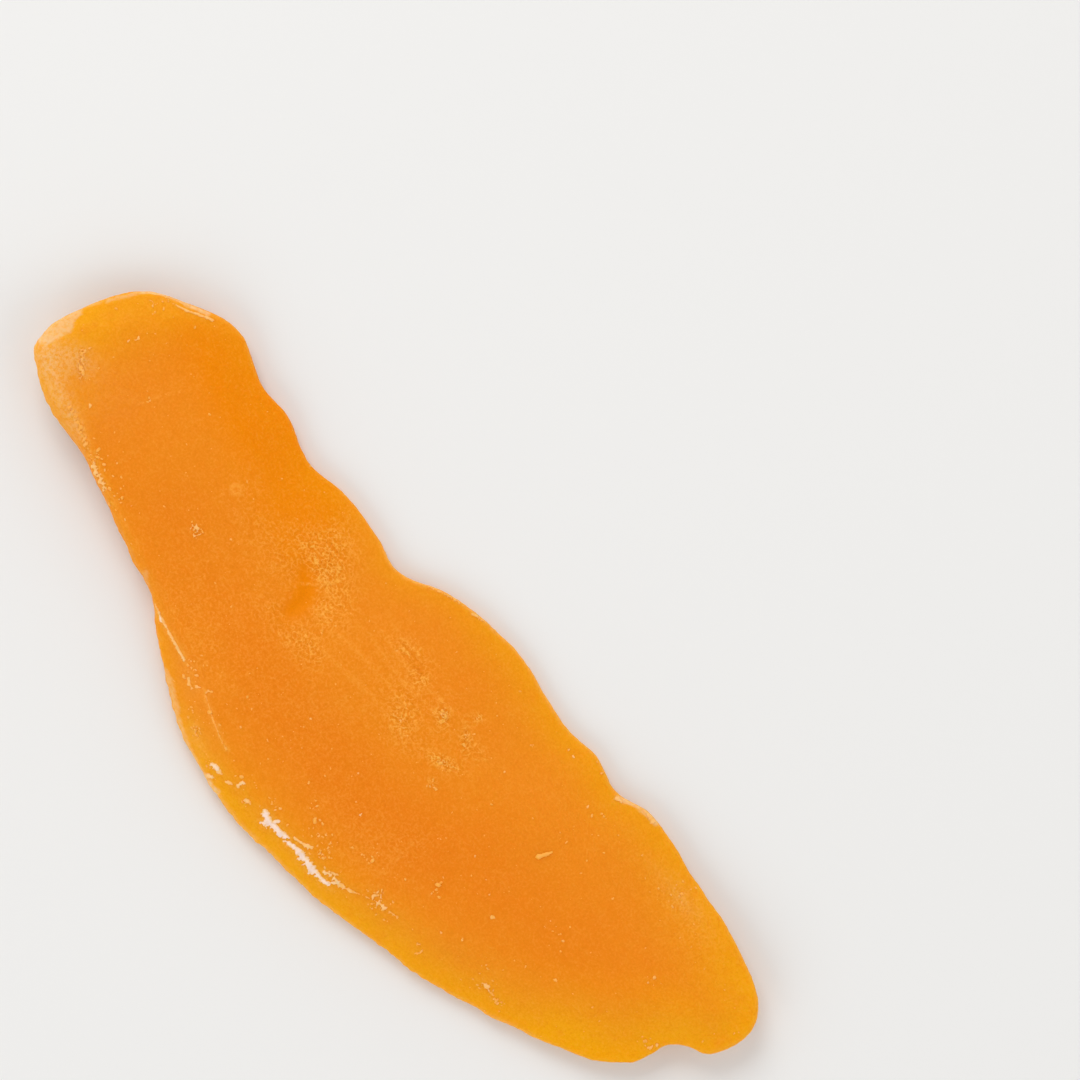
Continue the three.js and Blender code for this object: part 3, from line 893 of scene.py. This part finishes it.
def sugar_material(name, thin_colour, middle_colour, thick_colour):
    """Dull sugar, or dry crumbs of flesh, paler where they are thick."""
    material, tree, shader = new_material(name)
    where = add(tree, "ShaderNodeTexCoord", {}).outputs["Object"]
    whiteness = plus(tree, stored(tree, "white"), eased(tree, mottle(tree, where, 0.4, 2), 0.3, 0.7, 0.2))
    sugar = mixed(tree, between(tree, whiteness, 0.1, 0.6), thin_colour, middle_colour)
    sugar = mixed(tree, between(tree, whiteness, 0.6, 1.1), sugar, thick_colour)
    tree.links.new(sugar, shader["Base Color"])
    grain = mottle(tree, where, 0.2, 3, 0.7)
    bump = add(tree, "ShaderNodeBump", {"Height": grain, "Strength": 0.5, "Distance": 0.04 * MM})
    tree.links.new(bump.outputs["Normal"], shader["Normal"])
    shader["Roughness"].default_value = 0.6
    shader["Specular IOR Level"].default_value = 0.25
    shader["Subsurface Weight"].default_value = 0.15
    shader["Subsurface Radius"].default_value = (1.0, 0.6, 0.3)
    shader["Subsurface Scale"].default_value = 0.25 * MM
    return material


def sugar_shape():
    """An empty bmesh whose points know how white they are, how high they rise and which way is out."""
    shape = bmesh.new()
    shape.verts.layers.float.new("white")
    shape.verts.layers.float.new("height")
    shape.verts.layers.float_vector.new("out")
    return shape


def finish_sugar(shape, name, material):
    """Makes a piece from what was laid on the flesh."""
    bmesh.ops.recalc_face_normals(shape, faces=shape.faces)
    for face in shape.faces:
        face.smooth = True
    piece = objects_from(shape, name)
    piece.data.materials.append(material)
    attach(piece, BODY)


SUNK = 0.06  # how deep a crust or a grain is sunk into the flesh, in millimetres
STEEP = 0.5  # a crust thins out where its normal rises less than this
STEEP_LOSS = 4  # how fast it does so
RIGHT_TEETH, LEFT_TEETH = 1.4, 0.7  # how ragged a crust is to the right and to the left of its path
THIN_WHITE = 0.3  # share of its whiteness that a crust keeps where it is thinnest
SLIVER_RAGGED, SLIVER_WHITE, SLIVER_THICKNESS = 0.3, 0.5, 0.2  # of the slivers of flesh


def part_corners(faces):
    """The faces, without those that touch another one only at a corner."""
    kept = set(faces)
    for vert in {v for face in faces for v in face.verts}:
        around = [face for face in vert.link_faces if face in kept]
        if len(around) == 2 and not set(around[0].edges) & set(around[1].edges):
            kept.discard(around[0])
    return kept


def lay_crust(shape, find, crust, step, thickness, layer):
    """Adds a ragged crust along a path, which lies on the flesh and is closed all round."""
    path, start_width, end_width, ragged, white = crust
    path = rounded(path)
    done = np.concatenate([[0], np.cumsum(np.linalg.norm(np.diff(path, axis=0), axis=1))])
    reach = 1.5 * max(start_width, end_width) + 0.1
    span = done[-1] + 2 * reach

    def on_path(distance):
        return Vector([np.interp(distance, done, path[:, axis]) for axis in (0, 1)])

    sheet = bmesh.ops.create_grid(
        shape,
        x_segments=max(4, round(span / step)),
        y_segments=max(4, round(2 * reach / step)),
        size=1,
    )["verts"]
    height_of, white_of = shape.verts.layers.float["height"], shape.verts.layers.float["white"]
    out_of = shape.verts.layers.float_vector["out"]
    for vert in sheet:
        along = (vert.co.x + 1) / 2 * span - reach
        across = vert.co.y * reach
        inside = min(max(along, 0), done[-1])
        course = (on_path(inside + step) - on_path(inside - step)).normalized()
        spot = on_path(inside) + course * (along - inside) + course.orthogonal() * across
        half = start_width + (end_width - start_width) * inside / done[-1]
        fray = noise.noise(Vector((along / 0.34, across / 0.6, layer * 3.7)))
        fray += 0.7 * noise.noise(Vector((along / 0.16, across / 0.22, layer * 5.3)))
        toothed = RIGHT_TEETH if across < 0 else LEFT_TEETH
        rise = 1 - math.hypot(across, along - inside) / half + ragged * toothed * fray
        point, normal = find(*spot)
        if point is None:
            rise = -1
            point, normal = vert.co, UP
        rise -= STEEP_LOSS * max(STEEP - normal.z, 0)
        vert.co = point - normal * SUNK * MM
        vert[height_of] = min(rise, 1)
        vert[white_of] = white * (THIN_WHITE + (1 - THIN_WHITE) * min(max(rise, 0) * 1.4, 1))
        vert[out_of] = normal
    cells = {face for vert in sheet for face in vert.link_faces}
    kept = part_corners([cell for cell in cells if min(vert[height_of] for vert in cell.verts) > 0])
    bmesh.ops.delete(shape, geom=[cell for cell in cells if cell not in kept], context="FACES")
    left = [vert for vert in shape.verts if vert.link_faces and all(face in kept for face in vert.link_faces)]
    bmesh.ops.smooth_vert(shape, verts=left, factor=0.5, use_axis_x=True, use_axis_y=True, use_axis_z=True)
    raised = bmesh.ops.extrude_face_region(shape, geom=list(kept))["geom"]
    for vert in raised:
        if isinstance(vert, bmesh.types.BMVert):
            vert.co += vert[out_of] * (SUNK + thickness * math.sqrt(max(vert[height_of], 0))) * MM


class MANGO_OT_crusts(bpy.types.Operator):
    """Lays crusts of dried sugar along the creases and rims"""

    bl_idname = "mango.crusts"
    bl_label = "Lay the crusts"

    def execute(self, context):
        settings = context.scene.mango_sugar
        find = surface_finder(context)
        shape = sugar_shape()
        step, thickness = settings.mesh_size / MM, settings.crust / MM
        for layer, crust in enumerate(CRUSTS.values()):
            lay_crust(shape, find, crust, step, thickness, layer)
        material = sugar_material("sugar crust", settings.amber, settings.cream, settings.white)
        finish_sugar(shape, "sugar_crusts", material)
        return {"FINISHED"}


class MANGO_OT_flakes(bpy.types.Operator):
    """Lays the slivers of flesh that have stuck to the face"""

    bl_idname = "mango.flakes"
    bl_label = "Lay the slivers"

    def execute(self, context):
        flesh, sugar = context.scene.mango_flesh, context.scene.mango_sugar
        find = surface_finder(context)
        shape = sugar_shape()
        for layer, (path, start_width, end_width) in enumerate(FLAKES.values()):
            sliver = (path, start_width, end_width, SLIVER_RAGGED, SLIVER_WHITE)
            lay_crust(shape, find, sliver, sugar.mesh_size / MM, SLIVER_THICKNESS, layer)
        material = sugar_material("dry sliver", flesh.golden_colour, flesh.glint_and_film_colour, flesh.bloom_and_sheen_colour)
        finish_sugar(shape, "flesh_flakes", material)
        return {"FINISHED"}


SPOT_LAYER = 50  # the first layer of noise that frays a spot, past those of the crusts
CLEAR_HEIGHT = 0.4  # the loose grains lie higher than this, in millimetres, so none is under the belly


def lay_grain(shape, ground, radius, white, draw):
    """Adds one flat, lopsided grain that lies on the flesh."""
    point, normal = ground
    around = Matrix.Rotation(draw.uniform(0, math.tau), 4, "Z")
    flat = Matrix.Diagonal((draw.uniform(0.9, 1.6), draw.uniform(0.7, 1.0), draw.uniform(0.35, 0.6), 1))
    tumbled = Euler([draw.uniform(0, math.tau) for _ in range(3)]).to_matrix().to_4x4()
    facing = normal.to_track_quat("Z", "Y").to_matrix().to_4x4()
    spot = Matrix.Translation(point + normal * radius * 0.1 * MM) @ facing @ around @ flat @ tumbled
    grain = bmesh.ops.create_icosphere(shape, subdivisions=1, radius=radius * MM, matrix=spot)["verts"]
    white_of = shape.verts.layers.float["white"]
    for vert in grain:
        vert.co += (vert.co - point) * 0.35 * noise.noise(vert.co / (0.25 * MM))
        vert[white_of] = white


class MANGO_OT_grains(bpy.types.Operator):
    """Scatters grains of sugar over the slice, in clusters and alone"""

    bl_idname = "mango.grains"
    bl_label = "Scatter the grains"

    def execute(self, context):
        settings = context.scene.mango_sugar
        find = surface_finder(context)
        draw = random.Random(4)
        shape = sugar_shape()
        grain, step = settings.grain / MM, settings.mesh_size / MM

        for layer, (along, across, radius, white) in enumerate(SPOTS):
            turn = draw.uniform(0, math.tau)
            end = (along + radius * math.cos(turn), across + radius * math.sin(turn))
            spot = ([(along, across), end], radius, radius * draw.uniform(0.5, 0.9), 0.7, white)
            lay_crust(shape, find, spot, step, grain, layer + SPOT_LAYER)

        for along, across, reach, count in CLUSTERS:
            for _ in range(count):
                ground = find(draw.gauss(along, reach / 2), draw.gauss(across, reach / 2))
                if ground[0] is None:
                    continue
                radius = grain * draw.lognormvariate(0.1, 0.4)
                lay_grain(shape, ground, radius, draw.uniform(-0.1, 0.12), draw)

        low, high = (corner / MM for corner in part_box(SOLID))
        made = 0
        while made < settings.loose_grains:
            side = draw.choice((1, 1, -1))
            ground = find(draw.uniform(low.x, high.x), draw.uniform(low.y, high.y), side)
            if ground[0] is None or ground[0].z < CLEAR_HEIGHT * MM:
                continue
            radius = grain * draw.lognormvariate(-0.3, 0.4)
            lay_grain(shape, ground, radius, draw.uniform(-0.2, 0.0), draw)
            made += 1

        material = sugar_material("sugar grains", settings.amber, settings.cream, settings.white)
        finish_sugar(shape, "sugar_grains", material)
        return {"FINISHED"}


def softbox(name, towards, away, size, power):
    """A square area light that hangs away from a point and shines at it."""
    light = bpy.data.lights.new(name, "AREA")
    light.size = size
    light.energy = power
    lamp = bpy.data.objects.new(name, light)
    bpy.context.scene.collection.objects.link(lamp)
    lamp.location = towards + away
    lamp.rotation_mode = "QUATERNION"
    lamp.rotation_quaternion = away.to_track_quat("Z", "Y")


def tent(settings):
    """A world that shines like a white tent with a dim hole straight above."""
    world = bpy.data.worlds.new("tent")
    world.use_nodes = True
    tree = world.node_tree
    direction = add(tree, "ShaderNodeTexCoord", {}).outputs["Generated"]
    upward = add(tree, "ShaderNodeSeparateXYZ", {0: direction}).outputs["Z"]
    spans = {"Value": upward, "From Min": 0.45, "From Max": 0.9}
    spans |= {"To Min": settings.surround, "To Max": settings.overhead}
    strength = add(tree, "ShaderNodeMapRange", spans, interpolation_type="SMOOTHSTEP").outputs["Result"]
    shine = tree.nodes["Background"].inputs
    shine["Color"].default_value = (1, 1, 1, 1)
    tree.links.new(strength, shine["Strength"])
    return world


VIEW_CENTRE = Vector((-2.1, 30.2, 5)) * MM
VIEW_TURN = math.radians(50)  # how far the slice's length is turned from the picture's horizontal
SENSOR = 36


class MANGO_OT_studio(bpy.types.Operator):
    """Makes the floor, the lights and the camera"""

    bl_idname = "mango.studio"
    bl_label = "Make the studio"

    def execute(self, context):
        settings = context.scene.mango_studio
        shape = bmesh.new()
        bmesh.ops.create_grid(shape, x_segments=1, y_segments=1, size=3)
        floor = objects_from(shape, "floor")
        material, _, shader = new_material("floor paint")
        shader["Base Color"].default_value = (*settings.floor_colour, 1)
        shader["Roughness"].default_value = 0.9
        shader["Specular IOR Level"].default_value = 0.1
        floor.data.materials.append(material)

        up = Vector((-math.sin(VIEW_TURN), math.cos(VIEW_TURN), 0))
        right = up.cross(UP)
        middle = VIEW_CENTRE
        softbox("key", middle, 0.6 * up - 0.2 * right + 0.6 * UP, 0.5, settings.key)
        softbox("fill", middle, 0.6 * right - 0.45 * up + 0.55 * UP, 0.6, settings.fill)
        softbox("low fill", middle, -0.5 * right - 0.55 * up + 0.5 * UP, 0.6, settings.low_fill)
        context.scene.world = tent(settings)

        camera = bpy.data.objects.new("camera", bpy.data.cameras.new("camera"))
        context.scene.collection.objects.link(camera)
        context.scene.camera = camera
        camera.data.sensor_width = SENSOR
        camera.data.lens = SENSOR * (settings.height - middle.z) / settings.field
        camera.location = middle.xy.to_3d() + settings.height * UP
        camera.rotation_euler = (0, 0, VIEW_TURN)
        context.scene.view_settings.view_transform = "Standard"
        return {"FINISHED"}


OPERATORS = [MANGO_OT_flesh, MANGO_OT_crusts, MANGO_OT_flakes, MANGO_OT_grains, MANGO_OT_studio]


class MANGO_PT_slice(bpy.types.Panel):
    """Lists the steps that make the slice"""

    bl_label = "Dried mango slice"
    bl_idname = "MANGO_PT_slice"
    bl_space_type = "VIEW_3D"
    bl_region_type = "UI"
    bl_category = "Mango"

    def draw(self, context):
        for operator in OPERATORS:
            self.layout.operator(operator.bl_idname)


SETTINGS = {
    "mango_flesh": FleshSettings,
    "mango_sugar": SugarSettings,
    "mango_studio": StudioSettings,
}


def register():
    for group in [*SETTINGS.values(), *OPERATORS, MANGO_PT_slice]:
        bpy.utils.register_class(group)
    for name, group in SETTINGS.items():
        setattr(bpy.types.Scene, name, bpy.props.PointerProperty(type=group))


def unregister():
    for name in SETTINGS:
        delattr(bpy.types.Scene, name)
    for group in [MANGO_PT_slice, *OPERATORS, *SETTINGS.values()]:
        bpy.utils.unregister_class(group)


def main():
    register()
    bpy.ops.mango.flesh()
    bpy.ops.mango.crusts()
    bpy.ops.mango.flakes()
    bpy.ops.mango.grains()
    bpy.ops.mango.studio()


if __name__ == "__main__":
    main()
